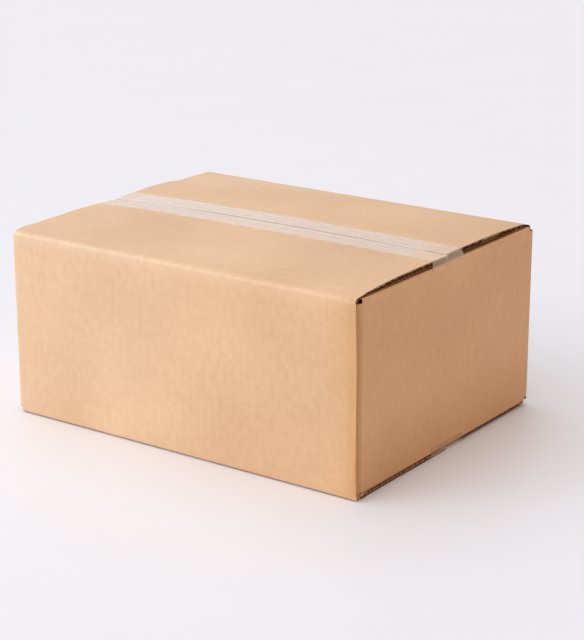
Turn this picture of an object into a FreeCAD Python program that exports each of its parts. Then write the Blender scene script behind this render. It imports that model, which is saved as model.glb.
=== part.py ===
import FreeCAD, Part
import os
import Sketcher

# A closed shipping carton of single-wall corrugated board, resting on its base.
# The whole carton is one die-cut sheet: four panels folded into a tube, a glue tab
# inside the near right corner, and eight flaps. The end flaps are folded first, the
# long flaps lie over them and meet at a seam, and a strip of film tape closes each seam.
# X runs along the length, Y along the width, Z up, and the floor is at Z = 0.

doc = FreeCAD.newDocument("carton_model")

# Driving sizes, in millimetres

SIZES = [
    ("length", 373.0),            # outside, along the seam
    ("width", 290.0),             # outside, across the seam
    ("panel_height", 160.0),      # from the lower scores to the upper scores
    ("board", 4.0),               # caliper of the corrugated board
    ("liner", 0.5),               # face paper that stays proud at a cut edge
    ("groove_depth", 1.5),        # how far the fluting lies behind a cut edge
    ("corner_radius", 2.5),       # outside radius of the upright folds
    ("end_fold", 1.8),            # outside radius of the end flaps' folds
    ("front_fold", 3.4),          # outside radius of the long folds, front panel
    ("rear_fold", 4.8),           # outside radius of the long folds, rear panel
    ("fold_board", 2.2),          # board left where the long folds were rolled
    ("fold_rise", 5.2),           # from the upper scores to the top of the long folds
    ("shoulder_width", 9.0),      # crushed strip beside each long upper fold
    ("shoulder_rise", 1.1),       # how much that strip climbs
    ("layer_gap", 0.2),           # air between two flaps that lie on each other
    ("side_gap", 3.0),            # from an end flap's side to the long panel's inner face
    ("seam_gap", 1.6),            # between the edges of the two long flaps
    ("seam_offset", -5.0),        # the upper seam lies this far from the middle
    ("slot_setback", 3.5),        # a slotted flap ends this far inside the end panel
    ("joint_setback", 0.4),       # the cut edge at the glued corner ends this far inside
    ("tab_width", 35.0),          # glue tab, along the front panel
    ("tab_relief", 3.0),          # from the tab's ends to the scores
    ("tab_taper", 9.0),           # further height the tab loses at its free edge
    ("left_crown", 1.3),          # air under the middle of the flap, left end
    ("middle_crown", 2.0),        # the same half way along
    ("right_crown", 1.9),         # the same at the right end
    ("left_seam", 0.2),           # air under the seam edge, left end
    ("middle_seam", 2.5),         # the same half way along
    ("right_seam", 1.8),          # the same at the right end
    ("pressed_edge", 2.7),        # board at the left end of the seam, pulled flat by the tape
    ("tape_width", 52.0),
    ("film", 0.12),               # tape film with its adhesive
    ("film_bed", 0.05),           # air between film and board
    ("top_tape_offset", -5.3),    # middle of the upper strip from the middle of the box
    ("base_tape_offset", -1.7),   # middle of the lower strip from the middle of the box
    ("top_tail", 2.5),            # upper strip's ends, below the end flap's fold
    ("base_tail", 9.5),           # lower strip's ends, above the floor
]

sheet = doc.addObject("Spreadsheet::Sheet", "sheet")
for row, (alias, size) in enumerate(SIZES, start=1):
    sheet.set(f"A{row}", alias)
    sheet.set(f"B{row}", str(size))
    sheet.setAlias(f"B{row}", alias)
doc.recompute()

# Levels and places that several pieces share

half_length = "sheet.length / 2"
half_width = "sheet.width / 2"
base_level = "(sheet.film + sheet.film_bed)"
lower_score = f"({base_level} + 2 * sheet.board + sheet.layer_gap)"
upper_score = f"({lower_score} + sheet.panel_height)"
end_flap_top = f"({upper_score} + sheet.board)"
fold_top = f"({upper_score} + sheet.fold_rise)"
shoulder_top = f"({fold_top} + sheet.shoulder_rise)"
inner_x = f"({half_length} - sheet.board)"
inner_y = f"({half_width} - sheet.board)"
end_flap_side = f"({inner_y} - sheet.side_gap)"
end_flap_edge = f"({half_length} - {half_width} + sheet.seam_gap / 2)"
left_end = f"(sheet.slot_setback - {half_length})"
front_right_end = f"({half_length} - sheet.joint_setback)"
rear_right_end = f"({half_length} - sheet.slot_setback)"


# Sketches: every corner point is held to the sheet by its two coordinates

def origin_plane(body, role):
    """The body's own origin plane with this role."""
    return next(item for item in body.Origin.OriginFeatures if item.Role == role)


def new_sketch(body, name, role, offset=None):
    """A sketch on an origin plane of the body, moved along its normal by an expression."""
    sketch = body.newObject("Sketcher::SketchObject", name)
    sketch.AttachmentSupport = [(origin_plane(body, role), "")]
    sketch.MapMode = "FlatFace"
    if offset:
        sketch.setExpression("AttachmentOffset.Base.z", offset)
    return sketch


def hold(sketch, axis, geometry, place, expression):
    """Hold one coordinate of a point to an expression."""
    size = float(sketch.evalExpression(expression))
    index = sketch.addConstraint(
        Sketcher.Constraint("Distance" + axis, -1, 1, geometry, place, size))
    sketch.setExpression(f"Constraints[{index}]", expression)


def outline(sketch, corners):
    """A closed outline. A corner is (x, y), or (x, y, how, x, y), where how says what
    leads on to the next corner: an arc about a 'centre', or one that goes 'through' a point."""
    def place(x, y):
        return FreeCAD.Vector(sketch.evalExpression(x), sketch.evalExpression(y), 0)

    first = sketch.GeometryCount
    count = len(corners)
    starts = []                   # which end of each edge is the corner: 1 first, 2 last
    for number, corner in enumerate(corners):
        start = place(*corner[:2])
        end = place(*corners[(number + 1) % count][:2])
        starts.append(1)
        if len(corner) == 2:
            sketch.addGeometry(Part.LineSegment(start, end), False)
            continue
        guide = place(*corner[3:])
        if corner[2] == "centre":
            middle = (start + end) / 2 - guide
            guide = guide + middle.normalize() * (start - guide).Length
        if (guide - start).cross(end - guide).z < 0:
            starts[number] = 2    # arcs run anticlockwise, so this one is drawn from its end
            start, end = end, start
        sketch.addGeometry(Part.Arc(start, guide, end), False)

    for number, corner in enumerate(corners):
        following = (number + 1) % count
        sketch.addConstraint(Sketcher.Constraint(
            "Coincident", first + number, 3 - starts[number],
            first + following, starts[following]))
        hold(sketch, "X", first + number, starts[number], corner[0])
        hold(sketch, "Y", first + number, starts[number], corner[1])
        if len(corner) > 2 and corner[2] == "centre":
            hold(sketch, "X", first + number, 3, corner[3])
        if len(corner) > 2 and corner[2] == "through":
            point = sketch.addGeometry(Part.Point(place(*corner[3:])), True)
            sketch.addConstraint(Sketcher.Constraint("PointOnObject", point, 1, first + number))
            hold(sketch, "X", point, 1, corner[3])
            hold(sketch, "Y", point, 1, corner[4])


def pad(body, name, sketch, length, middle=False):
    """A pad whose length is held to an expression."""
    feature = body.newObject("PartDesign::Pad", name)
    feature.Profile = sketch
    feature.Midplane = middle
    feature.setExpression("Length", length)
    return feature


def pocket(body, name, sketch, depth, reverse=False):
    """A pocket whose depth is held to an expression."""
    feature = body.newObject("PartDesign::Pocket", name)
    feature.Profile = sketch
    feature.Reversed = reverse
    feature.setExpression("Length", depth)
    return feature


def loft(body, kind, name, sketches):
    """A smooth loft through the sketches."""
    feature = body.newObject(f"PartDesign::{kind}Loft", name)
    feature.Profile = sketches[0]
    feature.Sections = sketches[1:]
    return feature


# Carton: the four panels

carton = doc.addObject("PartDesign::Body", "carton")

# The front panel's cut edge covers the glued corner, and its fluting is set back
# between the liners. The right panel's fold goes in behind it and becomes the tab.
walls = new_sketch(carton, "panels_section", "XY_Plane", lower_score)
corner_x = f"({half_length} - sheet.corner_radius)"
corner_y = f"({half_width} - sheet.corner_radius)"
cut_edge = front_right_end
groove_x = f"({cut_edge} - sheet.groove_depth)"
outline(walls, [
    (f"-{corner_x}", f"-{half_width}"),
    (cut_edge, f"-{half_width}"),
    (cut_edge, f"sheet.liner - {half_width}"),
    (groove_x, f"sheet.liner - {half_width}"),
    (groove_x, f"-({inner_y} + sheet.liner)"),
    (cut_edge, f"-({inner_y} + sheet.liner)"),
    (cut_edge, f"-{inner_y}"),
    (corner_x, f"-{inner_y}", "centre", corner_x, f"sheet.corner_radius - {inner_y}"),
    (half_length, f"sheet.corner_radius - {inner_y}"),
    (half_length, corner_y, "centre", corner_x, corner_y),
    (corner_x, half_width),
    (f"-{corner_x}", half_width, "centre", f"-{corner_x}", corner_y),
    (f"-{half_length}", corner_y),
    (f"-{half_length}", f"-{corner_y}", "centre", f"-{corner_x}", f"-{corner_y}"),
])
tab_edge = f"({inner_x} - sheet.tab_width)"
outline(walls, [
    (f"-{inner_x}", f"-{inner_y}"),
    (f"-{inner_x}", inner_y),
    (inner_x, inner_y),
    (inner_x, f"sheet.board - {inner_y}"),
    (tab_edge, f"sheet.board - {inner_y}"),
    (tab_edge, f"-{inner_y}"),
])
pad(carton, "panels", walls, "sheet.panel_height")

# Just past its fold the tab is cut short of the scores, and it tapers to its free edge.
tab_ends = new_sketch(carton, "tab_ends", "XZ_Plane", f"{inner_y} - sheet.board")
tab_root = f"({inner_x} - sheet.tab_relief)"
for level, inward in ((lower_score, "1"), (upper_score, "-1")):
    outline(tab_ends, [
        (tab_edge, level),
        (tab_root, level),
        (tab_root, f"{level} + {inward} * sheet.tab_relief"),
        (tab_edge, f"{level} + {inward} * (sheet.tab_relief + sheet.tab_taper)"),
    ])
pocket(carton, "tab_trim", tab_ends, "sheet.board", reverse=True)

# Carton: the end flaps, folded tightly

end_flaps = new_sketch(carton, "end_flaps_section", "XZ_Plane")
for level, outward in ((lower_score, "-1"), (upper_score, "1")):
    face = f"{level} + {outward} * sheet.board"
    bend_x = f"{half_length} - sheet.end_fold"
    bend_z = f"{face} - {outward} * sheet.end_fold"
    outline(end_flaps, [
        (inner_x, level),
        (half_length, level),
        (half_length, bend_z, "centre", bend_x, bend_z),
        (bend_x, face),
        (end_flap_edge, face),
        (end_flap_edge, level),
    ])
right_flaps = pad(carton, "right_end_flaps", end_flaps,
                  f"2 * ({end_flap_side} - sheet.layer_gap)", middle=True)
left_flaps = carton.newObject("PartDesign::Mirrored", "left_end_flaps")
left_flaps.Originals = [right_flaps]
left_flaps.MirrorPlane = (origin_plane(carton, "YZ_Plane"), [""])
carton.Tip = left_flaps

# Carton: the long flaps. Each side has a sign, a fold radius and the place of its right end.

SIDES = {
    "front": ("-1", "sheet.front_fold", front_right_end),
    "rear": ("1", "sheet.rear_fold", rear_right_end),
}


def base_flap(side):
    """A lower flap lies flat on the floor, with its cut ends grooved between the liners."""
    sign, radius, right_end = SIDES[side]
    top = f"({base_level} + sheet.board)"
    seam_edge = f"{sign} * sheet.seam_gap / 2"
    section = new_sketch(carton, f"{side}_base_flap_section", "YZ_Plane", left_end)
    outline(section, [
        (f"{sign} * {half_width}", lower_score),
        (f"{sign} * {half_width}", f"{base_level} + {radius}",
         "centre", f"{sign} * ({half_width} - {radius})", f"{base_level} + {radius}"),
        (f"{sign} * ({half_width} - {radius})", base_level),
        (seam_edge, base_level),
        (seam_edge, top),
        (f"{sign} * {end_flap_side}", top),
        (f"{sign} * ({half_width} - {radius})", f"{base_level} + sheet.fold_board"),
        (f"{sign} * ({half_width} - sheet.fold_board)", f"{base_level} + {radius}"),
        (f"{sign} * {inner_y}", lower_score),
    ])
    pad(carton, f"{side}_base_flap", section, f"{right_end} - {left_end}")

    for end, place in (("left", left_end), ("right", right_end)):
        groove = new_sketch(carton, f"{side}_base_{end}_groove", "YZ_Plane", place)
        outline(groove, [
            (f"{sign} * {end_flap_side}", f"{base_level} + sheet.liner"),
            (f"{sign} * {end_flap_side}", f"{top} - sheet.liner"),
            (seam_edge, f"{top} - sheet.liner"),
            (seam_edge, f"{base_level} + sheet.liner"),
        ])
        pocket(carton, f"{side}_base_{end}_edge", groove, "sheet.groove_depth", end == "left")


def roof_levels(station):
    """Top of the bowed flap at its crown and at the seam, and the board at the seam."""
    crown = f"({end_flap_top} + sheet.{station}_crown + sheet.board)"
    edge_board = "sheet.pressed_edge" if station == "left" else "sheet.board"
    seam = f"({end_flap_top} + sheet.{station}_seam + {edge_board})"
    return crown, seam, edge_board


def top_flap_section(side, station, place):
    """The upper flap's section: fold, crushed shoulder, bowed top, seam edge and underside."""
    sign, radius, _ = SIDES[side]
    crown, seam, edge_board = roof_levels(station)
    seam_edge = f"sheet.seam_offset + {sign} * sheet.seam_gap / 2"
    crown_y = f"{sign} * {half_width} / 2"
    section = new_sketch(carton, f"{side}_top_flap_{station}", "YZ_Plane", place)
    outline(section, [
        (f"{sign} * {half_width}", upper_score),
        (f"{sign} * {half_width}", f"{fold_top} - {radius}",
         "centre", f"{sign} * ({half_width} - {radius})", f"{fold_top} - {radius}"),
        (f"{sign} * ({half_width} - {radius})", fold_top),
        (f"{sign} * ({half_width} - sheet.shoulder_width)", shoulder_top,
         "through", crown_y, crown),
        (seam_edge, seam),
        (seam_edge, f"{seam} - {edge_board}",
         "through", crown_y, f"{crown} - sheet.board"),
        (f"{sign} * {end_flap_side}", f"{end_flap_top} + sheet.layer_gap"),
        (f"{sign} * ({half_width} - {radius})", f"{fold_top} - sheet.fold_board"),
        (f"{sign} * ({half_width} - sheet.fold_board)", f"{fold_top} - {radius}"),
        (f"{sign} * {inner_y}", upper_score),
    ])
    return section


def top_flap(side):
    """An upper flap is bowed along and across, and its cut ends are grooved."""
    sign, _, right_end = SIDES[side]
    sections = [
        top_flap_section(side, "left", left_end),
        top_flap_section(side, "middle", None),
        top_flap_section(side, "right", right_end),
    ]
    loft(carton, "Additive", f"{side}_top_flap", sections)

    shoulder_y = f"{sign} * ({half_width} - sheet.shoulder_width)"
    seam_edge = f"sheet.seam_offset + {sign} * sheet.seam_gap / 2"
    crown_y = f"{sign} * {half_width} / 2"
    for end, place in (("left", left_end), ("right", right_end)):
        crown, seam, edge_board = roof_levels(end)
        groove = new_sketch(carton, f"{side}_top_{end}_groove", "YZ_Plane", place)
        outline(groove, [
            (shoulder_y, f"{shoulder_top} - sheet.liner",
             "through", crown_y, f"{crown} - sheet.liner"),
            (seam_edge, f"{seam} - sheet.liner"),
            (seam_edge, f"{seam} - {edge_board} + sheet.liner",
             "through", crown_y, f"{crown} - sheet.board + sheet.liner"),
            (shoulder_y, f"{end_flap_top} + sheet.layer_gap + sheet.liner"),
        ])
        pocket(carton, f"{side}_top_{end}_edge", groove, "sheet.groove_depth", end == "left")


for side in SIDES:
    base_flap(side)
for side in SIDES:
    top_flap(side)


# Upper tape: a film block less the block it wraps

def film_block(name, offset):
    """What the upper strip encloses, grown by an offset: a side view as wide as the tape,
    with slanted ends where the film spans from the flaps down to the end panel, cut off
    by the bowed roof."""
    body = doc.addObject("PartDesign::Body", name)
    roof = f"({end_flap_top} + sheet.middle_seam + 3 * sheet.board)"
    tail = f"({end_flap_top} - sheet.top_tail)"
    face = f"({half_length} + {offset})"
    side_view = new_sketch(body, f"{name}_side", "XZ_Plane", f"-(sheet.top_tape_offset)")
    slant_left = f"({left_end} - {offset})"
    slant_right = f"({front_right_end} + {offset})"
    left_top = f"({end_flap_top} + sheet.left_seam + sheet.pressed_edge)"
    right_top = f"({end_flap_top} + sheet.right_seam + sheet.board)"
    outline(side_view, [
        (f"-{face}", tail),
        (f"-{face}", end_flap_top),
        (slant_left, left_top),
        (slant_left, roof),
        (slant_right, roof),
        (slant_right, right_top),
        (face, end_flap_top),
        (face, tail),
    ])
    pad(body, f"{name}_block", side_view, "sheet.tape_width", middle=True)

    sections = []
    for station, place in (("left", f"-{face}"), ("middle", None), ("right", face)):
        crown, seam, _ = roof_levels(station)
        section = new_sketch(body, f"{name}_roof_{station}", "YZ_Plane", place)
        front, rear = (f"{sign} * {half_width} / 2" for sign in ("-1", "1"))
        outer = f"({half_width} - sheet.shoulder_width)"
        outline(section, [
            (f"-{outer}", f"{shoulder_top} + {offset}",
             "through", front, f"{crown} + {offset}"),
            ("sheet.seam_offset - sheet.seam_gap / 2", f"{seam} + {offset}"),
            ("sheet.seam_offset + sheet.seam_gap / 2", f"{seam} + {offset}",
             "through", rear, f"{crown} + {offset}"),
            (outer, f"{shoulder_top} + {offset}"),
            (outer, f"{roof} + sheet.board"),
            (f"-{outer}", f"{roof} + sheet.board"),
        ])
        sections.append(section)
    loft(body, "Subtractive", f"{name}_roof", sections)
    return body


top_tape = doc.addObject("Part::Cut", "top_tape")
top_tape.Base = film_block("film_outside", "(sheet.film_bed + sheet.film)")
top_tape.Tool = film_block("film_inside", "sheet.film_bed")

# Lower tape: one strip under the base seam, turned up over both ends

base_tape = doc.addObject("PartDesign::Body", "base_tape")
strip = new_sketch(base_tape, "base_tape_side", "XZ_Plane", "-(sheet.base_tape_offset)")
film_in = f"({half_length} + sheet.film_bed)"
film_out = f"({film_in} + sheet.film)"
outline(strip, [
    (f"-{film_out}", "sheet.base_tail"),
    (f"-{film_out}", "sheet.board"),
    (left_end, "0"),
    (front_right_end, "0"),
    (film_out, "sheet.board"),
    (film_out, "sheet.base_tail"),
    (film_in, "sheet.base_tail"),
    (film_in, "sheet.board + sheet.film"),
    (front_right_end, "sheet.film"),
    (left_end, "sheet.film"),
    (f"-{film_in}", "sheet.board + sheet.film"),
    (f"-{film_in}", "sheet.base_tail"),
])
pad(base_tape, "base_strip", strip, "sheet.tape_width", middle=True)

doc.recompute()

# Every object must have solved, and each piece must be one sound solid

for item in doc.Objects:
    if "Invalid" in item.State or "Error" in item.State:
        raise RuntimeError(f"{item.Name} did not solve: {item.State}")

os.makedirs("parts", exist_ok=True)
for piece in (carton, top_tape, base_tape):
    shape = piece.Shape
    if shape.isNull() or not shape.isValid() or len(shape.Solids) != 1:
        raise RuntimeError(f"{piece.Label} is not one valid solid")
    shape.exportStep(f"parts/{piece.Label}.step")
    box = shape.BoundBox
    print(f"{piece.Label}: {shape.Volume:.0f} mm3, X {box.XMin:.2f} {box.XMax:.2f},"
          f" Y {box.YMin:.2f} {box.YMax:.2f}, Z {box.ZMin:.2f} {box.ZMax:.2f}")
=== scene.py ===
import math

import bmesh
import bpy
import numpy as np
from mathutils import Matrix, Vector, noise


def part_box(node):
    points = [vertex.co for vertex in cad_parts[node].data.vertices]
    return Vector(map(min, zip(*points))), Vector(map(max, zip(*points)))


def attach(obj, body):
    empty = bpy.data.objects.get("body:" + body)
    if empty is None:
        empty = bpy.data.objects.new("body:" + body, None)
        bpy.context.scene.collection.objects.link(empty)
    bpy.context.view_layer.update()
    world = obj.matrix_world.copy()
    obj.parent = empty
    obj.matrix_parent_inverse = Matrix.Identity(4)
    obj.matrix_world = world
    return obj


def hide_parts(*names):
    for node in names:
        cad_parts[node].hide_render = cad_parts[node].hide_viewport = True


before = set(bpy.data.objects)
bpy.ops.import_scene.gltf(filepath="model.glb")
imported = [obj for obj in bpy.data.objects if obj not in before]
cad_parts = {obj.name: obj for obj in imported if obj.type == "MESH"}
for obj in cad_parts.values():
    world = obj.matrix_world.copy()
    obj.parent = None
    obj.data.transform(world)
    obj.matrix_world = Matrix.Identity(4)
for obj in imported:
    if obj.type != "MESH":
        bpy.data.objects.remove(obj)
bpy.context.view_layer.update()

# Camera. Seen from the near right corner and a little above, through a long lens,
# so that the box's edges stay almost parallel.

azimuth, elevation = 0.61856, 0.30473
lens, distance = 106.67, 1.7408
aim, aside, raised = Vector((0, 0, 0.0882)), 0.01594, -0.00263
back = Vector((math.sin(azimuth) * math.cos(elevation),
               -math.cos(azimuth) * math.cos(elevation), math.sin(elevation)))
across = Vector((math.cos(azimuth), math.sin(azimuth), 0))
upward = back.cross(across)
camera = bpy.data.objects.new("camera", bpy.data.cameras.new("camera"))
camera.data.lens = lens
camera.data.clip_end = 60
camera.matrix_world = Matrix((across, upward, back)).transposed().to_4x4()
camera.location = aim + distance * back + aside * across + raised * upward
bpy.context.collection.objects.link(camera)
bpy.context.scene.camera = camera


# Floor and light. A wide sheet of semi-matt white paper. A very broad ceiling light, a
# window in front and a small lamp low on the left light it. The surround is pale where
# it is seen or mirrored, and otherwise sheds a weak warm light.

class Wire:
    """One output of a material's nodes. Arithmetic on it adds Math nodes, and node()
    adds any other node and returns one of its outputs."""

    def __init__(self, socket):
        self.socket = socket

    def node(self, kind, settings, sockets, output=0):
        """Another node of the same material."""
        return add_node(self.socket.id_data, kind, settings, sockets, output)

    def math(self, operation, *others):
        """A Math node on this value and others."""
        values = {f"Value_{n:03d}" if n else "Value": v for n, v in enumerate((self, *others))}
        return self.node("Math", {"operation": operation}, values)

    def __add__(self, other):
        return self.math("ADD", other)

    def __sub__(self, other):
        return self.math("SUBTRACT", other)

    def __rsub__(self, other):
        return (self * -1.0).math("ADD", other)

    def __mul__(self, other):
        return self.math("MULTIPLY", other)

    def __abs__(self):
        return self.math("ABSOLUTE")

    __radd__ = __add__
    __rmul__ = __mul__

    def most(self, other):
        """The larger of two values."""
        return self.math("MAXIMUM", other)

    def other(self, output):
        """Another output of the same node."""
        return Wire(self.socket.node.outputs[output])

    def parts(self):
        """The vector's three numbers."""
        first = self.node("SeparateXYZ", {}, {"Vector": self}, "X")
        return first, first.other("Y"), first.other("Z")

    def times(self, vector):
        """The vector multiplied by another, part by part."""
        return self.node("VectorMath", {"operation": "MULTIPLY"},
                         {"Vector": self, "Vector_001": vector})

    def ramp(self, low, high, start=0.0, end=1.0):
        """From start to end, smoothly, as the value goes from low to high."""
        return self.node("MapRange", {"interpolation_type": "SMOOTHSTEP"},
                         {"Value": self, "From Min": low, "From Max": high,
                          "To Min": start, "To Max": end})

    def blend(self, first, second):
        """The first colour where the value is 0, the second where it is 1."""
        return self.node("Mix", {"data_type": "RGBA"},
                         {"Factor_Float": self, "A_Color": first, "B_Color": second},
                         "Result_Color")

    def cloud(self, scale, detail=2.0, roughness=0.5):
        """Noise from 0 to 1 over the vector, with so many cells to a unit each way."""
        place = self.times(scale)
        return place.node("TexNoise", {}, {"Vector": place, "Scale": 1.0, "Detail": detail,
                                           "Roughness": roughness}, "Fac")

    def bump(self, strength, distance):
        """The normal of a surface with this height."""
        return self.node("Bump", {}, {"Height": self, "Strength": strength,
                                      "Distance": distance})


def add_node(tree, kind, settings, sockets, output=0):
    """A shader node: its settings first, then values or links for its sockets."""
    made = tree.nodes.new("ShaderNode" + kind)
    for name, value in settings.items():
        setattr(made, name, value)
    for name, value in sockets.items():
        socket = next(s for s in made.inputs if s.identifier == name)
        if isinstance(value, Wire):
            tree.links.new(value.socket, socket)
        else:
            socket.default_value = value
    if isinstance(output, str):
        return Wire(next(s for s in made.outputs if s.identifier == output))
    return Wire(made.outputs[output])


def new_material(name):
    """An empty material."""
    material = bpy.data.materials.new(name)
    material.use_nodes = True
    material.node_tree.nodes.clear()
    return material


def finish_material(material, sockets):
    """The material's surface shader, from constants and wires."""
    tree = material.node_tree
    shader = add_node(tree, "BsdfPrincipled", {}, sockets)
    tree.links.new(shader.socket, tree.nodes.new("ShaderNodeOutputMaterial").inputs["Surface"])


paper_light, paper_dark = (0.915, 0.905, 0.945, 1), (0.90, 0.89, 0.93, 1)
paper = new_material("white_paper")
tooth = add_node(paper.node_tree, "TexCoord", {}, {}, "Object").cloud((6.0, 6.0, 6.0))
finish_material(paper, {"Base Color": tooth.blend(paper_light, paper_dark),
                        "Roughness": 0.5, "Specular IOR Level": 0.5})

reach = 10
sheet_corners = [(-reach, -reach, 0), (reach, -reach, 0), (reach, reach, 0), (-reach, reach, 0)]
floor_mesh = bpy.data.meshes.new("floor")
floor_mesh.from_pydata(sheet_corners, [], [(0, 1, 2, 3)])
floor_mesh.materials.append(paper)
floor = bpy.data.objects.new("floor", floor_mesh)
bpy.context.collection.objects.link(floor)

world = bpy.data.worlds.new("studio")
world.use_nodes = True
camera_ray = add_node(world.node_tree, "LightPath", {}, {}, "Is Camera Ray")
warm_fill, pale_wall = (0.385, 0.340, 0.297, 1), (0.89, 0.88, 0.92, 1)
surround = camera_ray.most(camera_ray.other("Is Glossy Ray")).blend(warm_fill, pale_wall)
world.node_tree.links.new(surround.socket, world.node_tree.nodes["Background"].inputs["Color"])
bpy.context.scene.world = world

daylight, cool_white = (0.91, 0.97, 1.04), (0.86, 0.96, 1.06)
for name, kind, stand, spread, power, colour in (
        ("ceiling", "SUN", (-0.38, -0.22, 1.0), math.radians(96), 1.73, daylight),
        ("window", "SUN", (-0.38, -0.78, 0.52), math.radians(50), 0.45, daylight),
        ("lamp", "AREA", (-1.1, -1.3, 0.42), 0.8, 5.5, cool_white)):
    light = bpy.data.objects.new(name, bpy.data.lights.new(name, kind))
    setattr(light.data, "angle" if kind == "SUN" else "size", spread)
    light.data.energy = power
    light.data.color = colour
    light.location = stand
    light.rotation_euler = Vector(stand).to_track_quat("Z", "Y").to_euler()
    bpy.context.collection.objects.link(light)
bpy.context.scene.view_settings.view_transform = "Standard"

# Carton. One die-cut sheet of single-wall corrugated board, its fluting upright in the
# panels: scored, folded into a tube, glued at the near right corner, end flaps in first
# and long flaps over them. It is drawn as its flat blank and folded, with both faces.

lowest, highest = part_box("carton")
half_length, half_width, base = highest.x, highest.y, lowest.z
board, flute_pitch = 0.004, 0.0078
inner_x, inner_y = half_length - board, half_width - board
lower_score, upper_score = base + 0.0082, base + 0.1682
end_flap_top, layer_gap = upper_score + board, 0.0002

# Flaps. The end flaps reach from the end panels to end_flap_edge, and to flap_side on both
# sides. The long flaps run from left_end to right_ends, and meet at the seams. In what is
# given for each long panel, -1 is the front one and 1 the rear one.
flap_side, end_flap_edge = 0.1378, 0.0423
left_end, right_ends = 0.0035 - half_length, {-1: half_length - 0.0004,
                                              1: half_length - 0.0035}
seam_y, seam_edges = -0.005, {-1: -0.0058, 1: -0.0042}
lower_half_gap = 0.0008

# Folds. The upright ones are rolled outside and creased inside, and their lower ends reach
# below the scores. The long flaps' folds are crushed thin, and a strip beside each upper
# one, up to the shoulder, is crushed too.
corner_radius, crease, corner_steps, corner_drop = 0.0025, 0.0002, 6, 0.0028
end_fold, tight_fold, fold_board = 0.0018, 0.0003, 0.0022
fold_radii = {-1: 0.0034, 1: 0.0048}
fold_top, shoulder_rise = upper_score + 0.0052, 0.0011
shoulder, crush_reach, crushed = half_width - 0.009, 0.02, 0.62

# The long flaps' bow: air under them at the left end, half way and at the right end, and
# how the two ends depart from it, place by place across the box. Waves of the flaps and
# the panels' bulges have a height, a length and a seed; a bulge is also stretched upright.
crowns, seam_rises = (0.0013, 0.0020, 0.0019), (-0.0001, 0.0025, 0.0018)
waves = ((0.00022, 0.055, 3.1), (0.00008, 0.018, 8.4))
long_bulge, end_bulge = (0.0005, 0.11, 5.0, 1.4), (0.0006, 0.1, 11.0, 1.3)
press_reach, press = 0.034, (
    (-0.136, 0), (-0.110, -0.0016), (-0.088, -0.0018), (-0.066, -0.0018), (-0.046, -0.0020),
    (-0.028, -0.0019), (-0.010, -0.0020), (0.012, -0.0013), (0.030, -0.0014),
    (0.044, -0.0010), (0.074, -0.0014), (0.090, -0.0026), (0.120, -0.0012), (0.136, -0.0007))
lift_reach, lifts = 0.06, (
    (-0.145, 0), (-0.13, 0.0007), (-0.05, 0), (0.06, 0), (0.09, 0.0006), (0.13, 0.0008),
    (0.145, 0))

# Wear of the front panel's raw edge at the glued corner, and the glue tab inside it.
nick_depth, nick_reach, lower_nick, wear_fade = 0.0016, 0.012, -0.8, 9
edge_wear = ((lower_score, -0.0007), (0.03, 0), (0.11, 0), (upper_score, 0.0013))
tab_width, tab_relief, tab_taper, tab_columns, glue_line = 0.035, 0.003, 0.009, 7, 0.00004

# The blank's grid. Its rows run up a panel with both its flaps, its columns round the box.
long_columns, end_columns = 96, 68
base_rows, fold_rows, panel_rows, shoulder_rows, top_rows = 10, 7, 19, 3, 30
rows = base_rows + 2 * fold_rows + panel_rows + shoulder_rows + top_rows
upper_fold = base_rows + fold_rows + panel_rows
upright = slice(base_rows + fold_rows, upper_fold)
base_run = np.array([0, 0.17, 0.34, 0.51, 0.67, 0.80, 0.90, 0.965, 0.98, 0.99])
panel_share = (1 - np.cos(np.linspace(0, math.pi, panel_rows))) / 2
panel_heights = lower_score + (upper_score - lower_score) * panel_share


def along(left, middle, right, x):
    """A level that is given at the left end, half way and at the right end."""
    t = x / half_length
    return middle + (right - left) / 2 * t + ((right + left) / 2 - middle) * t * t


def eased(places, levels, at):
    """Smooth interpolation through a few places, level beyond them."""
    result = np.full(np.shape(at), levels[0], float)
    for n in range(len(places) - 1):
        t = np.clip((at - places[n]) / (places[n + 1] - places[n]), 0, 1)
        result = result + (levels[n + 1] - levels[n]) * t * t * (3 - 2 * t)
    return result


def rough(x, y, scale, seed):
    """Seeded smooth noise from about -1 to 1 over two lengths."""
    flat = [noise.noise((a / scale, b / scale, seed)) for a, b in
            zip(np.ravel(x), np.ravel(y))]
    return np.reshape(flat, np.shape(x)) * 2


def roof(x, y):
    """The bowed upper face of the long flaps: crowned across, arched along, pressed down
    by the tape at the left end, where the rear flap is also dented."""
    side = np.where(y < seam_y, -1.0, 1.0)
    depth = side * y
    low = fold_top + shoulder_rise
    crown = end_flap_top + board + along(*crowns, x)
    middle = end_flap_top + board + along(*seam_rises, x)
    s0, s1, s2 = shoulder, half_width / 2, np.where(side < 0, -seam_edges[-1], seam_edges[1])
    curve = (low * (depth - s1) * (depth - s2) / ((s0 - s1) * (s0 - s2))
             + crown * (depth - s0) * (depth - s2) / ((s1 - s0) * (s1 - s2))
             + middle * (depth - s0) * (depth - s1) / ((s2 - s0) * (s2 - s1)))
    near_left = np.exp(-((x - left_end) / press_reach) ** 2)
    near_right = np.exp(-((x - half_length) / lift_reach) ** 2)
    wave = sum(height * rough(x, y, length, seed) for height, length, seed in waves)
    calm = np.clip((shoulder - depth) / crush_reach, 0, 1)
    return (curve + near_left * eased(*zip(*press), y) + near_right * eased(*zip(*lifts), y)
            + wave * calm)


def bulge(side, places, levels, height, length, seed, stretch):
    """A panel's slow swell, which ends at its four folds."""
    share = np.linspace(0, 1, len(places))[:, None]
    swell = side * height * rough(places, levels * stretch, length, seed + side)
    return swell * np.sin(math.pi * panel_share) ** 0.5 * np.sin(math.pi * share)


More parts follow.
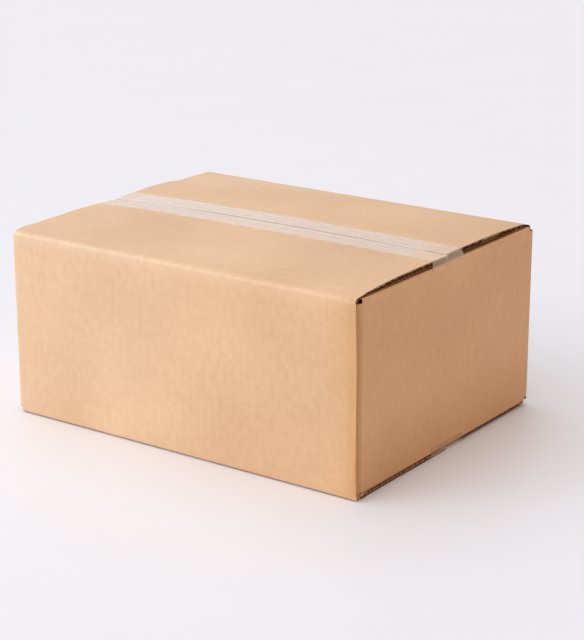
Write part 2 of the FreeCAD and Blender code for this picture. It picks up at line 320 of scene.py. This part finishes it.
def long_panel(side, start, end, count, inside):
    """Outer and inner faces of a long panel with both flaps, column by column. Its inner
    face stays between the two places in inside."""
    radius, seam = fold_radii[side], side * seam_edges[side]
    flat = half_width - radius
    turn = np.linspace(0, math.pi / 2, fold_rows)
    outer_s = np.concatenate([
        lower_half_gap + (flat - lower_half_gap) * base_run, flat + radius * np.sin(turn),
        np.full(panel_rows, half_width), flat + radius * np.cos(turn),
        np.linspace(flat, shoulder, shoulder_rows + 1)[1:],
        shoulder + (seam - shoulder) * np.linspace(0, 1, top_rows + 1)[1:]])
    outer_z = np.concatenate([
        np.full(base_rows, base), base + radius - radius * np.cos(turn), panel_heights,
        fold_top - radius + radius * np.sin(turn),
        np.linspace(fold_top, fold_top + shoulder_rise, shoulder_rows + 1)[1:],
        np.zeros(top_rows)])

    # The inner face passes a fold in four stops, from the panel to the flap.
    bend = np.linspace(0, 1, fold_rows + 1)
    stops = (0, 0.36, 0.62, 1)
    bend_s = (inner_y, half_width - fold_board, flat, flap_side)
    lower_z = (lower_score, base + radius, base + fold_board, base + board)
    upper_z = (upper_score, fold_top - radius, fold_top - fold_board, end_flap_top + layer_gap)
    inner_s = np.concatenate([
        lower_half_gap + (flap_side - lower_half_gap) * base_run,
        np.interp(bend[:0:-1], stops, bend_s), np.full(panel_rows, inner_y),
        np.interp(bend[1:], stops, bend_s),
        flap_side + (seam - flap_side) * np.linspace(0, 1, shoulder_rows + top_rows + 1)[1:]])
    inner_z = np.concatenate([
        np.full(base_rows, base + board), np.interp(bend[:0:-1], stops, lower_z),
        panel_heights, np.interp(bend[1:], stops, upper_z), np.zeros(shoulder_rows + top_rows)])

    share = np.linspace(0, 1, count)[:, None]
    flap_ends = [right_ends[side] if place > 0 else left_end for place in (start, end)]
    x = flap_ends[0] + (flap_ends[1] - flap_ends[0]) * share * np.ones((1, rows))
    x[:, upright] = start + (end - start) * share
    if side < 0:
        nick = nick_depth * np.exp(-(half_width - outer_s) / nick_reach)
        nick[:upright.start] *= lower_nick
        nick[upright] = eased(*zip(*edge_wear), panel_heights)
        x = x - nick * np.clip(1 - wear_fade * share, 0, 1) ** 2
    outer = np.stack([x, side * outer_s + 0 * x, outer_z + 0 * x], -1)
    inner = np.stack([x, side * inner_s + 0 * x, inner_z + 0 * x], -1)
    inner[:, upright, 0] = np.clip(inner[:, upright, 0], *inside)

    top = slice(rows - top_rows, rows)
    outer[:, top, 2] = roof(x[:, top], outer[:, top, 1])
    under = slice(rows - top_rows - shoulder_rows, rows)
    depth = side * inner[:, under, 1]
    near_fold = np.clip((depth - shoulder + crush_reach) / crush_reach, 0, 1)
    full = roof(x[:, under], inner[:, under, 1]) - board * (1 - crushed * near_fold)
    over_end_flap = np.abs(x[:, under]) > end_flap_edge - board
    inner[:, under, 2] = np.maximum(full, np.where(over_end_flap, end_flap_top + layer_gap, 0))
    swell = bulge(side, x[:, upright], outer[:, upright, 2], *long_bulge)
    outer[:, upright, 1] += swell
    inner[:, upright, 1] += swell
    return outer, inner, True


def end_panel(side, start, end, count, inside=(crease - inner_y, inner_y - crease)):
    """Outer and inner faces of an end panel with both flaps, column by column."""
    turn = np.linspace(0, math.pi / 2, fold_rows + 1)
    run = np.linspace(0, 1, shoulder_rows + top_rows + 1)[1:]
    bend_x, inner_bend_x = half_length - end_fold, inner_x - tight_fold
    outer_s = np.concatenate([
        end_flap_edge + (bend_x - end_flap_edge) * base_run,
        bend_x + end_fold * np.sin(turn[:-1]), np.full(panel_rows, half_length),
        bend_x + end_fold * np.cos(turn[1:]), bend_x + (end_flap_edge - bend_x) * run])
    outer_z = np.concatenate([
        np.full(base_rows, lower_score - board),
        lower_score - board + end_fold * (1 - np.cos(turn[:-1])), panel_heights,
        end_flap_top - end_fold * (1 - np.sin(turn[1:])), np.full(len(run), end_flap_top)])
    inner_s = np.concatenate([
        end_flap_edge + (inner_bend_x - end_flap_edge) * base_run,
        inner_bend_x + tight_fold * np.sin(turn[:-1]), np.full(panel_rows, inner_x),
        inner_bend_x + tight_fold * np.cos(turn[1:]),
        inner_bend_x + (end_flap_edge - inner_bend_x) * run])
    inner_z = np.concatenate([
        np.full(base_rows, lower_score),
        lower_score + tight_fold - tight_fold * np.cos(turn[:-1]),
        np.clip(panel_heights, lower_score + tight_fold, upper_score - tight_fold),
        upper_score - tight_fold + tight_fold * np.sin(turn[1:]),
        np.full(len(run), upper_score)])

    y = (start + (end - start) * np.linspace(0, 1, count)[:, None]) * np.ones((1, rows))
    flaps = np.clip(y, -flap_side, flap_side)
    flaps[[0, -1]] = np.sign(y[[0, -1]]) * flap_side
    flaps[:, upright] = y[:, upright]
    outer = np.stack([side * outer_s + 0 * y, flaps, outer_z + 0 * y], -1)
    inner = np.stack([side * inner_s + 0 * y, flaps, inner_z + 0 * y], -1)
    inner[:, upright, 1] = np.clip(inner[:, upright, 1], *inside)
    swell = bulge(side, y[:, upright], outer[:, upright, 2], *end_bulge)
    outer[:, upright, 0] += swell
    inner[:, upright, 0] += swell
    return outer, inner, True


def fold_column(side, y):
    """The one column at which an end panel passes into an upright fold."""
    outer, inner, _ = end_panel(side, y, y, 2)
    return outer[:1], inner[:1], False


def bare_column(x, y, heights):
    """A column without flaps: only its stretch between the scores is board."""
    column = np.full((rows, 3), np.nan)
    column[upright, 0], column[upright, 1], column[upright, 2] = x, y, heights
    return column


def corner(first, last, centre, inner_centre):
    """The columns of an upright fold, between two panels' last and first columns."""
    start = math.atan2(first[1] - centre[1], first[0] - centre[0])
    turn = math.atan2(last[1] - centre[1], last[0] - centre[0]) - start
    turn = (turn + math.pi) % (2 * math.pi) - math.pi
    heights = panel_heights.copy()
    heights[0] -= corner_drop
    angles = [start + turn * step / corner_steps for step in range(1, corner_steps)]
    outer, inner = (
        np.array([bare_column(hub[0] + radius * math.cos(angle),
                              hub[1] + radius * math.sin(angle), heights) for angle in angles])
        for radius, hub in ((corner_radius, centre), (crease, inner_centre)))
    return outer, inner, False


def glue_tab(y_outer, y_inner):
    """The tab's columns, from its fold to its tapered free edge."""
    middle = (lower_score + upper_score) / 2
    outer, inner = [], []
    for share in np.linspace(0, 1, tab_columns):
        trim = tab_relief + tab_taper * share if share else 0
        shrink = 1 - 2 * trim / (upper_score - lower_score)
        heights = middle + (panel_heights - middle) * shrink
        x = inner_x - tight_fold - tab_width * share
        outer.append(bare_column(x, y_outer, heights))
        inner.append(bare_column(x, y_inner, heights))
    return np.array(outer), np.array(inner), False


fold_x, fold_y = half_length - corner_radius, half_width - corner_radius
crease_x, crease_y = inner_x - crease, inner_y - crease
near_fold_y, near_crease_y = corner_radius - inner_y, board - inner_y + crease
pieces = [
    long_panel(-1, right_ends[-1], -fold_x, long_columns, (-crease_x, half_length)),
    corner((-fold_x, -half_width), (-half_length, -fold_y), (-fold_x, -fold_y),
           (-crease_x, -crease_y)),
    fold_column(-1, -fold_y),
    end_panel(-1, -flap_side, flap_side, end_columns),
    fold_column(-1, fold_y),
    corner((-half_length, fold_y), (-fold_x, half_width), (-fold_x, fold_y),
           (-crease_x, crease_y)),
    long_panel(1, -fold_x, fold_x, long_columns, (-crease_x, crease_x)),
    corner((fold_x, half_width), (half_length, fold_y), (fold_x, fold_y),
           (crease_x, crease_y)),
    fold_column(1, fold_y),
    end_panel(1, flap_side, near_fold_y, end_columns, (near_crease_y, crease_y)),
    corner((half_length, near_fold_y), (fold_x, -inner_y), (fold_x, near_fold_y),
           (crease_x, near_crease_y)),
    glue_tab(-inner_y + glue_line, board - inner_y)]

outer = np.concatenate([piece[0] for piece in pieces])
inner = np.concatenate([piece[1] for piece in pieces])
flapped = np.concatenate([np.full(len(piece[0]), piece[2]) for piece in pieces])
columns = len(outer)


def developed(line):
    """The length along a line of points, up to each of them."""
    return np.concatenate([[0], np.cumsum(np.linalg.norm(np.diff(line, axis=0), axis=1))])


measured_row, measured_column = 30, 10
blank_u, blank_v = developed(outer[:, measured_row]), developed(outer[measured_column])

# Which cells of the grid are board. Cell c + 1, r + 1 lies between columns c and c + 1 and
# rows r and r + 1, and a border of empty cells surrounds them.
in_panel = np.zeros(rows, bool)
in_panel[upright] = True
solid = np.zeros((columns + 1, rows + 1), bool)
solid[1:-1, 1:-1] = ((flapped[:-1] & flapped[1:])[:, None]
                     | (in_panel[:-1] & in_panel[1:])[None, :])

points, blank, recesses = [], [], []
index = {}


def vertex(key, place, u, v, w, recess=0.0):
    """The number of a vertex, made the first time it is asked for."""
    if key not in index:
        index[key] = len(points)
        points.append(tuple(place))
        blank.append((u, v, w))
        recesses.append(recess)
    return index[key]


def face_vertex(c, r, w):
    """A vertex of the outer face, w = 0, or the inner face, w = 1."""
    return vertex((c, r, w), (outer, inner)[w][c, r], blank_u[c], blank_v[r], w)


# Across a cut edge, from the outer face, 0, to the inner face, 1: each point's place and
# how far it lies behind the cut. A ribbon of fluting stands between the liners, the rolled
# upper folds are hollow, and the crushed ends of the lower folds show a ring.
full_recess, ribbon_points, ring_rows = 0.0024, range(2, 6), 3
ribbon_place, ribbon_wander = 0.40, 0.07
ribbon_profile = (
    (0.08, 0.0), (0.10, 0.0020), (-0.22, 0.0020), (-0.20, 0.0010), (0.18, 0.0010),
    (0.20, 0.0024), (0.92, 0.0024), (0.94, 0.0018), (0.985, 0.0018))
hollow_profile = (
    (0.10, 0.0), (0.14, 0.0030), (0.30, 0.0030), (0.45, 0.0030), (0.60, 0.0030),
    (0.75, 0.0030), (0.88, 0.0030), (0.93, 0.0010), (0.985, 0.0008))
ring_profile = (
    (0.20, 0.0), (0.24, 0.0028), (0.36, 0.0028), (0.50, 0.0028), (0.62, 0.0028),
    (0.74, 0.0028), (0.78, 0.0), (0.88, 0.0), (0.97, 0.0))
ring_start = base_rows - ring_rows
profiles = ([ribbon_profile] * ring_start + [ring_profile] * (ring_rows + fold_rows)
            + [ribbon_profile] * panel_rows + [hollow_profile] * fold_rows
            + [ribbon_profile] * (shoulder_rows + top_rows))

# How far the cut stands open, from 0 to 1, row by row: hardly in the panels, where the
# edge is glued down, half in the lower flaps and little where the ring begins and ends.
open_flutes = np.where(in_panel, 0.12, 1.0)
open_flutes[:ring_start] = 0.62
open_flutes[ring_start] = 0.3
open_flutes[base_rows + 2:upright.start] = 0.3


def rim_vertices(c, r, with_flutes):
    """The vertices across a cut edge. A cut across the fluting stays flat."""
    start, end = outer[c, r], inner[c, r]
    inward = np.zeros(3)
    for i, j in ((c, r), (c + 1, r), (c, r + 1), (c + 1, r + 1)):
        if solid[i, j]:
            cell = (outer[i - 1:i + 1, j - 1:j + 1] + inner[i - 1:i + 1, j - 1:j + 1])
            inward += np.mean(cell.reshape(-1, 3), 0) / 2 - (start + end) / 2
    inward /= np.linalg.norm(inward)
    wander = ribbon_place + ribbon_wander * noise.noise((blank_v[r] * 60, c * 0.37, 2.5)) * 2
    openness = float(with_flutes) * open_flutes[r]
    profile = profiles[r]
    chain = [face_vertex(c, r, 0)]
    for number, (place, depth) in enumerate(profile):
        if profile is ribbon_profile and number in ribbon_points:
            place += wander
        pale = profile is ring_profile and depth == 0
        at = start + (end - start) * place + inward * depth * openness
        recess = depth / full_recess * openness - pale * openness
        chain.append(vertex((c, r, "rim", number), at, blank_u[c], blank_v[r], place, recess))
    chain.append(face_vertex(c, r, 1))
    return chain


faces, slots = [], []
for c in range(columns - 1):
    for r in range(rows - 1):
        if not solid[c + 1, r + 1]:
            continue
        around = ((c, r), (c, r + 1), (c + 1, r + 1), (c + 1, r))
        faces.append([face_vertex(i, j, 0) for i, j in around])
        faces.append([face_vertex(i, j, 1) for i, j in reversed(around)])
        slots += [0, 0]

rims = [((c, r), (c, r + 1), True) for c in range(columns) for r in range(rows - 1)
        if solid[c, r + 1] != solid[c + 1, r + 1]]
rims += [((c, r), (c + 1, r), False) for c in range(columns - 1) for r in range(rows)
         if solid[c + 1, r] != solid[c + 1, r + 1]]
straight = {}
for first, last, with_flutes in rims:
    for end in (first, last):
        straight[end] = straight.get(end, True) and with_flutes
for first, last, with_flutes in rims:
    chains = [rim_vertices(*end, straight[end]) for end in (first, last)]
    for n in range(len(ribbon_profile) + 1):
        faces.append([chains[0][n], chains[1][n], chains[1][n + 1], chains[0][n + 1]])
        slots.append(1 if with_flutes else 2)


def within(value, low, full, last, high):
    """1 from full to last, easing to 0 at low and at high."""
    return eased((low, full, last, high), (0, 1, 1, 0), value)


# Painted light and shade over the kraft: washes of colour standing in for shade, highlights and
# sheen, where each lies, and what it does to red, green and blue.
at_x, at_y, at_z = np.array(points).T
on_panel = within(at_z, base + 0.001, base + 0.004, upper_score + 0.0040, upper_score + 0.0050)
on_end = eased((half_length - 0.0028, half_length - 0.0004), (0, 1), np.abs(at_x))
# The right end panel, in the shade: its wash is painted shade, browner and darker than the lit
# faces.
on_right_end = on_panel * on_end * (at_x > 0)
on_front = at_y < -half_width + 0.0022
# Painted shade deep in the groove over the end flaps' crests.
painted_groove_shade = (within(at_z, end_flap_top - 0.002, end_flap_top - 0.001, end_flap_top + 0.0001,
                    end_flap_top + 0.0003)
             * eased((half_length - 0.0018, half_length - 0.0006), (1, 0), np.abs(at_x))
             * (np.abs(at_y) < flap_side + 0.0002))
# Painted highlight along the front upper fold, and a weaker one on the panel just below it.
painted_fold_highlight = on_front * within(at_z, fold_top - 0.0044, fold_top - 0.0032,
                                fold_top - 0.0016, fold_top - 0.0008)
painted_highlight_below_fold = on_front * within(at_z, fold_top - 0.016, fold_top - 0.005,
                               fold_top - 0.0025, fold_top - 0.0015)
beside_edge = within(at_y, -0.1425, -0.1415, -0.1375, -0.1345) * (at_z > fold_top - 0.0004)
# Painted contact shadow on the long panels' lowest edge, by the floor.
painted_floor_shadow = (eased((base + 0.0003, base + 0.0017), (1, 0), at_z)
            * (np.abs(at_y) > half_width - 0.0033))
# Painted sheen: the rear panel paler and cooler.
painted_rear_sheen = on_panel * eased((fold_y - 0.0015, fold_y + 0.0015), (0, 1), at_y)
# Painted highlight at the front panel's left end.
painted_left_highlight = (on_panel * on_front
             * eased((-half_length + 0.0025, -half_length + 0.0045), (1, 0), at_x))
# Painted shade on the right end panel, darker towards the bottom.
painted_low_end_shade = on_right_end * eased((0.0, 0.085), (1, 0), at_z)
# Painted shade: the long panels browner and darker towards the right.
painted_shade_towards_right = on_panel * (1 - on_end) * eased((-0.10, 0.14, 0.186), (0, 0.5, 1), at_x)
# Painted sheen on the top's left side, and painted shade on its right.
painted_top_left_sheen = ((1 - on_panel) * eased((-0.18, 0.10), (1, 0.1), at_x)
            * eased((-0.14, 0.14), (0.45, 1), at_y))
painted_top_right_shade = ((1 - on_panel) * eased((-0.02, 0.17), (0, 1), at_x)
             * eased((-0.14, 0.10), (0.3, 1), at_y))
painted_light_tint = np.ones((len(points), 3))
for weight, wash in (
        (on_right_end, (1.04, 0.872, 0.715)), (painted_groove_shade, (0.55, 0.45, 0.32)),
        (painted_fold_highlight, (1.06, 1.13, 1.20)), (painted_highlight_below_fold, (1.04, 1.08, 1.13)),
        (beside_edge, (0.97, 0.965, 0.96)), (painted_floor_shadow, (0.50, 0.46, 0.42)),
        (painted_rear_sheen, (0.95, 1.06, 1.20)), (painted_left_highlight, (1.00, 1.05, 1.12)),
        (painted_low_end_shade, (0.88, 0.82, 0.74)), (painted_shade_towards_right, (0.94, 0.83, 0.70)),
        (painted_top_left_sheen, (1.01, 1.06, 1.14)), (painted_top_right_shade, (0.88, 0.86, 0.83))):
    painted_light_tint *= 1 + weight[:, None] * (np.array(wash) - 1)


def keep(mesh, name, kind, values):
    """Values at the mesh's points, for its materials to read."""
    field = "value" if kind == "FLOAT" else "vector"
    mesh.attributes.new(name, kind, "POINT").data.foreach_set(field, np.ravel(values))


def face_outwards(mesh):
    """Turns every face of a closed mesh outwards."""
    shape = bmesh.new()
    shape.from_mesh(mesh)
    bmesh.ops.recalc_face_normals(shape, faces=shape.faces)
    shape.to_mesh(mesh)
    shape.free()


carton_mesh = bpy.data.meshes.new("carton_board")
carton_mesh.from_pydata(points, [], faces)
carton_mesh.polygons.foreach_set("material_index", slots)
keep(carton_mesh, "blank", "FLOAT_VECTOR", blank)
keep(carton_mesh, "recess", "FLOAT", recesses)
keep(carton_mesh, "painted_light_tint", "FLOAT_VECTOR", painted_light_tint)
keep(carton_mesh, "on_panel", "FLOAT", on_panel)
face_outwards(carton_mesh)
carton_mesh.shade_smooth()
carton_mesh.set_sharp_from_angle(angle=math.radians(38))
carton_mesh.update()


def attribute(material, name, output="Vector"):
    """What the mesh keeps at its points under a name."""
    return add_node(material.node_tree, "Attribute", {"attribute_name": name}, {}, output)


def fluting(u):
    """The wave of the fluting, from -1 to 1, round the blank."""
    return (u * (2 * math.pi / flute_pitch)).math("SINE")


# The kraft liner: cloudy pulp, fibres that run up the panels, dark and pale flecks, a faint
# washboard of the fluting in patches, painted shade over the near upright fold and the front
# panel's glued edge, and the fold's score.
dark_kraft, light_kraft = (0.705, 0.440, 0.246, 1), (0.895, 0.597, 0.368, 1)
dark_fleck, pale_fleck = (0.50, 0.29, 0.15, 1), (0.93, 0.70, 0.50, 1)
painted_fold_shade_tone = (0.87, 0.81, 0.69)
near_fold_u = float(blank_u[sum(len(piece[0]) for piece in pieces[:-2])])
kraft = new_material("kraft_liner")
sheet = attribute(kraft, "blank")
u, *_ = sheet.parts()
blotch = sheet.cloud((9, 9, 1), 2.0)
formation = sheet.cloud((150, 120, 1), 3.0, 0.6)
fibre = sheet.cloud((520, 1500, 1), 2.0, 0.7)
fleck = sheet.cloud((260, 820, 1), 1.0)
patch = sheet.cloud((14, 9, 1), 1.0).ramp(0.35, 0.7)
washboard = fluting(u)
tone = (blotch - 0.5) * 0.8 + (formation - 0.5) * 0.62 + (fibre - 0.5) * 0.3
tone = tone + washboard * (patch * 0.022 + 0.004) + 0.5
colour = tone.ramp(0.0, 1.0).blend(dark_kraft, light_kraft)
colour = (fleck.ramp(0.68, 0.8) * 0.35).blend(colour, dark_fleck)
colour = (fleck.ramp(0.3, 0.2) * 0.3).blend(colour, pale_fleck)
colour = colour.times(attribute(kraft, "painted_light_tint"))
from_fold = u - near_fold_u
# Painted shade: the end panel darker up to the near fold and beyond, and the front panel darker
# towards its glued edge.
painted_shade_and_score = from_fold.ramp(-0.0036, -0.0012).most(u.ramp(0.013, 0.002) * 0.62)
score = abs(from_fold + 0.0078).ramp(0.0009, 0.0002) * 0.25
painted_shade_and_score = painted_shade_and_score.most(score) * attribute(kraft, "on_panel", "Fac")
relief = washboard * 0.3 + (formation - 0.5) * 2.6 + (fibre - 0.5) * 0.9
finish_material(kraft, {
    "Base Color": painted_shade_and_score.blend(colour, colour.times(painted_fold_shade_tone)),
    "Roughness": formation.ramp(0.2, 0.8, 0.56, 0.72), "Specular IOR Level": 0.5,
    "Normal": relief.bump(0.35, 0.00008)})

# Edges cut along the fluting: fuzzy board in front, torn tufts behind, partly painted shade,
# then the hollow, painted dark as shade.
# The crushed ring of the lower folds is pale, and the edge nearest the floor has a painted
# contact shadow.
fuzz_dark, fuzz_light = (0.58, 0.31, 0.135, 1), (0.72, 0.405, 0.19, 1)
tuft_dark, tuft_light = (0.11, 0.040, 0.014, 1), (0.56, 0.30, 0.15, 1)
ring_pale, painted_hollow_shade, painted_contact_shadow = (
    (0.90, 0.62, 0.38, 1), (0.10, 0.036, 0.009, 1), (0.20, 0.09, 0.045, 1))
cut = new_material("cut_with_flutes")
sheet = attribute(cut, "blank")
_, v, w = sheet.parts()
recess = attribute(cut, "recess", "Fac")
fuzz = sheet.cloud((500, 500, 40), 3.0, 0.7)
tufts = sheet.cloud((180, 330, 0), 0.0)
torn = tufts.ramp(0.42, 0.60).blend(tuft_dark, tuft_light)
colour = fuzz.blend(fuzz_dark, fuzz_light)
colour = recess.ramp(0.0, -0.5).blend(colour, ring_pale)
# Deeper in the cut the colour darkens: torn tufts, partly painted shade, then painted shade in
# the hollow.
colour = recess.ramp(0.14, 0.30).blend(colour, torn)
colour = recess.ramp(0.5, 0.9).blend(colour, painted_hollow_shade)
# Painted contact shadow on the base flaps' cut edges, on the side towards the floor.
contact_shadow_mask = v.ramp(0.139, 0.136) * w.ramp(0.5, 0.2)
finish_material(cut, {
    "Base Color": (contact_shadow_mask * 0.75).blend(colour, painted_contact_shadow), "Roughness": 0.9,
    "Specular IOR Level": 0.2, "Normal": fuzz.bump(0.6, 0.0002)})

# Edges cut across the fluting: its wave between the two liners, over gaps painted dark as
# shade.
wave_dark, wave_light = (0.46, 0.27, 0.14, 1), (0.64, 0.41, 0.23, 1)
painted_flute_gap_shade = (0.07, 0.035, 0.018, 1)
cross_cut = new_material("cut_across_flutes")
sheet = attribute(cross_cut, "blank")
u, _, w = sheet.parts()
wave = abs(w - 0.5 - fluting(u) * 0.34).ramp(0.10, 0.06)
liners = abs(w - 0.5).ramp(0.36, 0.40)
board_mask = wave.most(liners)
fuzz = sheet.cloud((700, 300, 30), 2.0)
finish_material(cross_cut, {
    "Base Color": board_mask.blend(painted_flute_gap_shade, fuzz.blend(wave_dark, wave_light)),
    "Roughness": 0.9, "Specular IOR Level": 0.2, "Normal": board_mask.bump(0.8, 0.0006)})

for material in (kraft, cut, cross_cut):
    carton_mesh.materials.append(material)
carton = bpy.data.objects.new("carton_board", carton_mesh)
bpy.context.collection.objects.link(carton)
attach(carton, "root")
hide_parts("carton")

# Tape over the upper seam. One strip of clear packing film with a milky adhesive, pulled
# along the seam, folded down over both ends of the flaps and pressed on the end panels.

film, film_bed = 0.00012, 0.00005
tape_low, tape_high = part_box("top_tape")
film_ribs, film_stations, turned_stations = 41, 150, 7
film_bend, edge_lift, tail_top = 0.0012, 0.3, end_flap_top - 0.0004
quarters, thirds = (0.25, 0.5, 0.75, 1.0), (0.33, 0.66, 1.0)


def closed_strip(name, inside, outside, end_mark):
    """A thin closed sheet from two grids of points. It keeps each point's place on the
    strip, and the mark where its two ends turn down or up."""
    stations, ribs = inside.shape[:2]
    layer = stations * ribs
    places = np.concatenate([inside.reshape(-1, 3), outside.reshape(-1, 3)])
    run = developed(outside[:, ribs // 2])
    marks = [end_mark * (min(n, stations - 1 - n) < turned_stations) for n in range(stations)]
    spots = [(run[n], outside[n, m, 1], marks[n]) for n in range(stations) for m in range(ribs)]
    quads = []
    for n in range(stations - 1):
        for m in range(ribs - 1):
            a = n * ribs + m
            quad = (a, a + 1, a + ribs + 1, a + ribs)
            quads.append(quad)
            quads.append(tuple(i + layer for i in reversed(quad)))
    border = ([(0, m) for m in range(ribs)] + [(n, ribs - 1) for n in range(1, stations)]
              + [(stations - 1, m) for m in range(ribs - 2, -1, -1)]
              + [(n, 0) for n in range(stations - 2, 0, -1)])
    for (n1, m1), (n2, m2) in zip(border, border[1:] + border[:1]):
        a, b = n1 * ribs + m1, n2 * ribs + m2
        quads.append((a, b, b + layer, a + layer))
    mesh = bpy.data.meshes.new(name)
    mesh.from_pydata(places.tolist(), [], quads)
    keep(mesh, "strip", "FLOAT_VECTOR", spots + spots)
    face_outwards(mesh)
    mesh.shade_smooth()
    return mesh


def between(start, end, shares):
    """Points on the way from start to end."""
    return [(start[0] + (end[0] - start[0]) * t, start[1] + (end[1] - start[1]) * t)
            for t in shares]


def upper_line(y, right, lift):
    """One line along the upper strip with both its tails, lift above the board."""
    xs = np.concatenate([
        [left_end - lift], np.linspace(left_end + film_bend, right - film_bend, film_stations),
        [right + lift]])
    zs = roof(np.clip(xs, left_end, right), np.full(len(xs), y)) + lift
    end_zs = roof(np.array([left_end, right]), np.full(2, y))
    zs[[0, -1]] = end_zs + lift * edge_lift
    face = half_length + lift
    tail = between((face, tail_top), (face, tape_low.z), thirds)
    line = ([(-x, z) for x, z in reversed(tail)]
            + between((xs[0], end_zs[0]), (-face, tail_top), quarters[::-1])
            + list(zip(xs, zs)) + between((xs[-1], end_zs[1]), (face, tail_top), quarters)
            + tail)
    return [(x, y, z) for x, z in line]


strip_ys = np.linspace(tape_low.y, tape_high.y, film_ribs)
over_seam = eased((seam_y - 0.002, seam_y + 0.002), (0, 1), strip_ys)
strip_ends = right_ends[-1] + (right_ends[1] - right_ends[-1]) * over_seam
grids = [np.array([upper_line(y, right, lift) for y, right in zip(strip_ys, strip_ends)])
         .transpose(1, 0, 2) for lift in (film_bed, film_bed + film)]
top_mesh = closed_strip("top_film", *grids, 1.0)

# The film: streaks, bands and specks of milky adhesive, painted shade of the seam's gap under
# it, painted highlights where the film lifts beside the gap, clear side edges, and less milk at
# the ends and tails.
thin_milk, thick_milk = (0.78, 0.69, 0.60, 1), (0.89, 0.845, 0.81, 1)
clear_warm, clear_side = (0.90, 0.74, 0.55, 1), (0.98, 0.76, 0.58, 1)
painted_highlight_white, seam_shade_brown = (0.96, 0.90, 0.84, 1), (0.46, 0.37, 0.30, 1)
upper_tail, lower_tail = (0.90, 0.655, 0.475, 1), (0.80, 0.50, 0.31, 1)
strip_middle = (tape_low.y + tape_high.y) / 2
film_paint = new_material("clear_film")
strip = attribute(film_paint, "strip")
run, side, mark = strip.parts()
tail, lower = mark.ramp(0.0, 1.0), mark.ramp(1.0, 2.0)
streak = strip.cloud((2.0, 380, 0), 2.0, 0.6)
band = strip.cloud((1.2, 90, 0), 1.0)
speck = strip.cloud((40, 300, 0), 1.0)
milk = (streak - 0.5) * 0.9 + (band - 0.5) * 0.7 + (speck - 0.5) * 0.15
milk = milk + run.ramp(0.32, 0.02, 0.42, 0.72)
from_seam = side - seam_y
# Painted shade of the seam's gap, seen through the film.
painted_seam_shade = abs(from_seam).ramp(0.0016, 0.0007)
painted_seam_shade = painted_seam_shade * (run.ramp(0.09, 0.12) * run.ramp(0.33, 0.29) * 0.65
             + run.ramp(0.350, 0.356) * 0.45 + 0.2) * (1.0 - tail)
# Painted highlights on both sides of the gap, where the film lifts.
behind = abs(from_seam - 0.0022).ramp(0.0012, 0.0004)
before = abs(from_seam + 0.0026).ramp(0.0012, 0.0004)
behind = behind * run.ramp(0.28, 0.32, 0.45, 1.0) * run.ramp(0.360, 0.348)
painted_lift_highlight = behind.most(before * 0.3) * (1.0 - tail)
side_edge = abs(side - strip_middle).ramp(0.0238, 0.0256)
colour = milk.blend(thin_milk, thick_milk)
colour = (run.ramp(0.335, 0.372) * 0.6).blend(colour, clear_warm)
colour = (side_edge * 0.8).blend(colour, clear_side)
colour = painted_lift_highlight.blend(colour, painted_highlight_white)
colour = painted_seam_shade.blend(colour, seam_shade_brown)
cover = (milk.ramp(0.0, 1.0, 0.38, 0.50) * run.ramp(0.335, 0.372, 1.0, 0.74)
         * run.ramp(0.008, 0.030, 0.8, 1.0) * tail.ramp(0.0, 1.0, 1.0, 0.85)
         * mark.ramp(1.0, 2.0, 1.0, 0.75))
finish_material(film_paint, {
    "Base Color": lower.blend(tail.blend(colour, upper_tail), lower_tail), "Alpha": cover,
    "Roughness": speck.ramp(0.3, 0.7, 0.24, 0.36), "IOR": 1.48,
    "Normal": (streak * 0.7 + band).bump(0.3, 0.0001)})
top_mesh.materials.append(film_paint)
top_tape = bpy.data.objects.new("top_film", top_mesh)
bpy.context.collection.objects.link(top_tape)
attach(top_tape, "root")
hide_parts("top_tape")
top_tape.visible_shadow = False

# Tape under the lower seam. The same film, between the box and the floor, with its two
# ends turned up over the end panels.

base_low, base_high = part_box("base_tape")
lower_ribs, lower_stations = 21, 60
turned_up = ((0.25, 0.22), (0.5, 0.47), (0.75, 0.73))
tail_heights = (board, 0.0058, 0.0076, base_high.z)


def lower_line(y, lift):
    """One line along the lower strip with both its tails, lift outside its inner face."""
    face, under, right = base_high.x - film + lift, film - lift, right_ends[-1]
    rise = [(right + (face - right) * t, under + board * h) for t, h in turned_up]
    fall = [(left_end - (face + left_end) * t, under + board * h)
            for t, h in reversed(turned_up)]
    line = ([(-face, z) for z in reversed(tail_heights)] + fall
            + [(x, under) for x in np.linspace(left_end, right, lower_stations)] + rise
            + [(face, z) for z in tail_heights])
    return [(x, y, z) for x, z in line]


strip_ys = np.linspace(base_low.y, base_high.y, lower_ribs)
grids = [np.array([lower_line(y, lift) for y in strip_ys]).transpose(1, 0, 2)
         for lift in (0.0, film)]
base_mesh = closed_strip("base_film", *grids, 2.0)
base_mesh.materials.append(film_paint)
base_tape = bpy.data.objects.new("base_film", base_mesh)
bpy.context.collection.objects.link(base_tape)
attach(base_tape, "root")
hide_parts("base_tape")
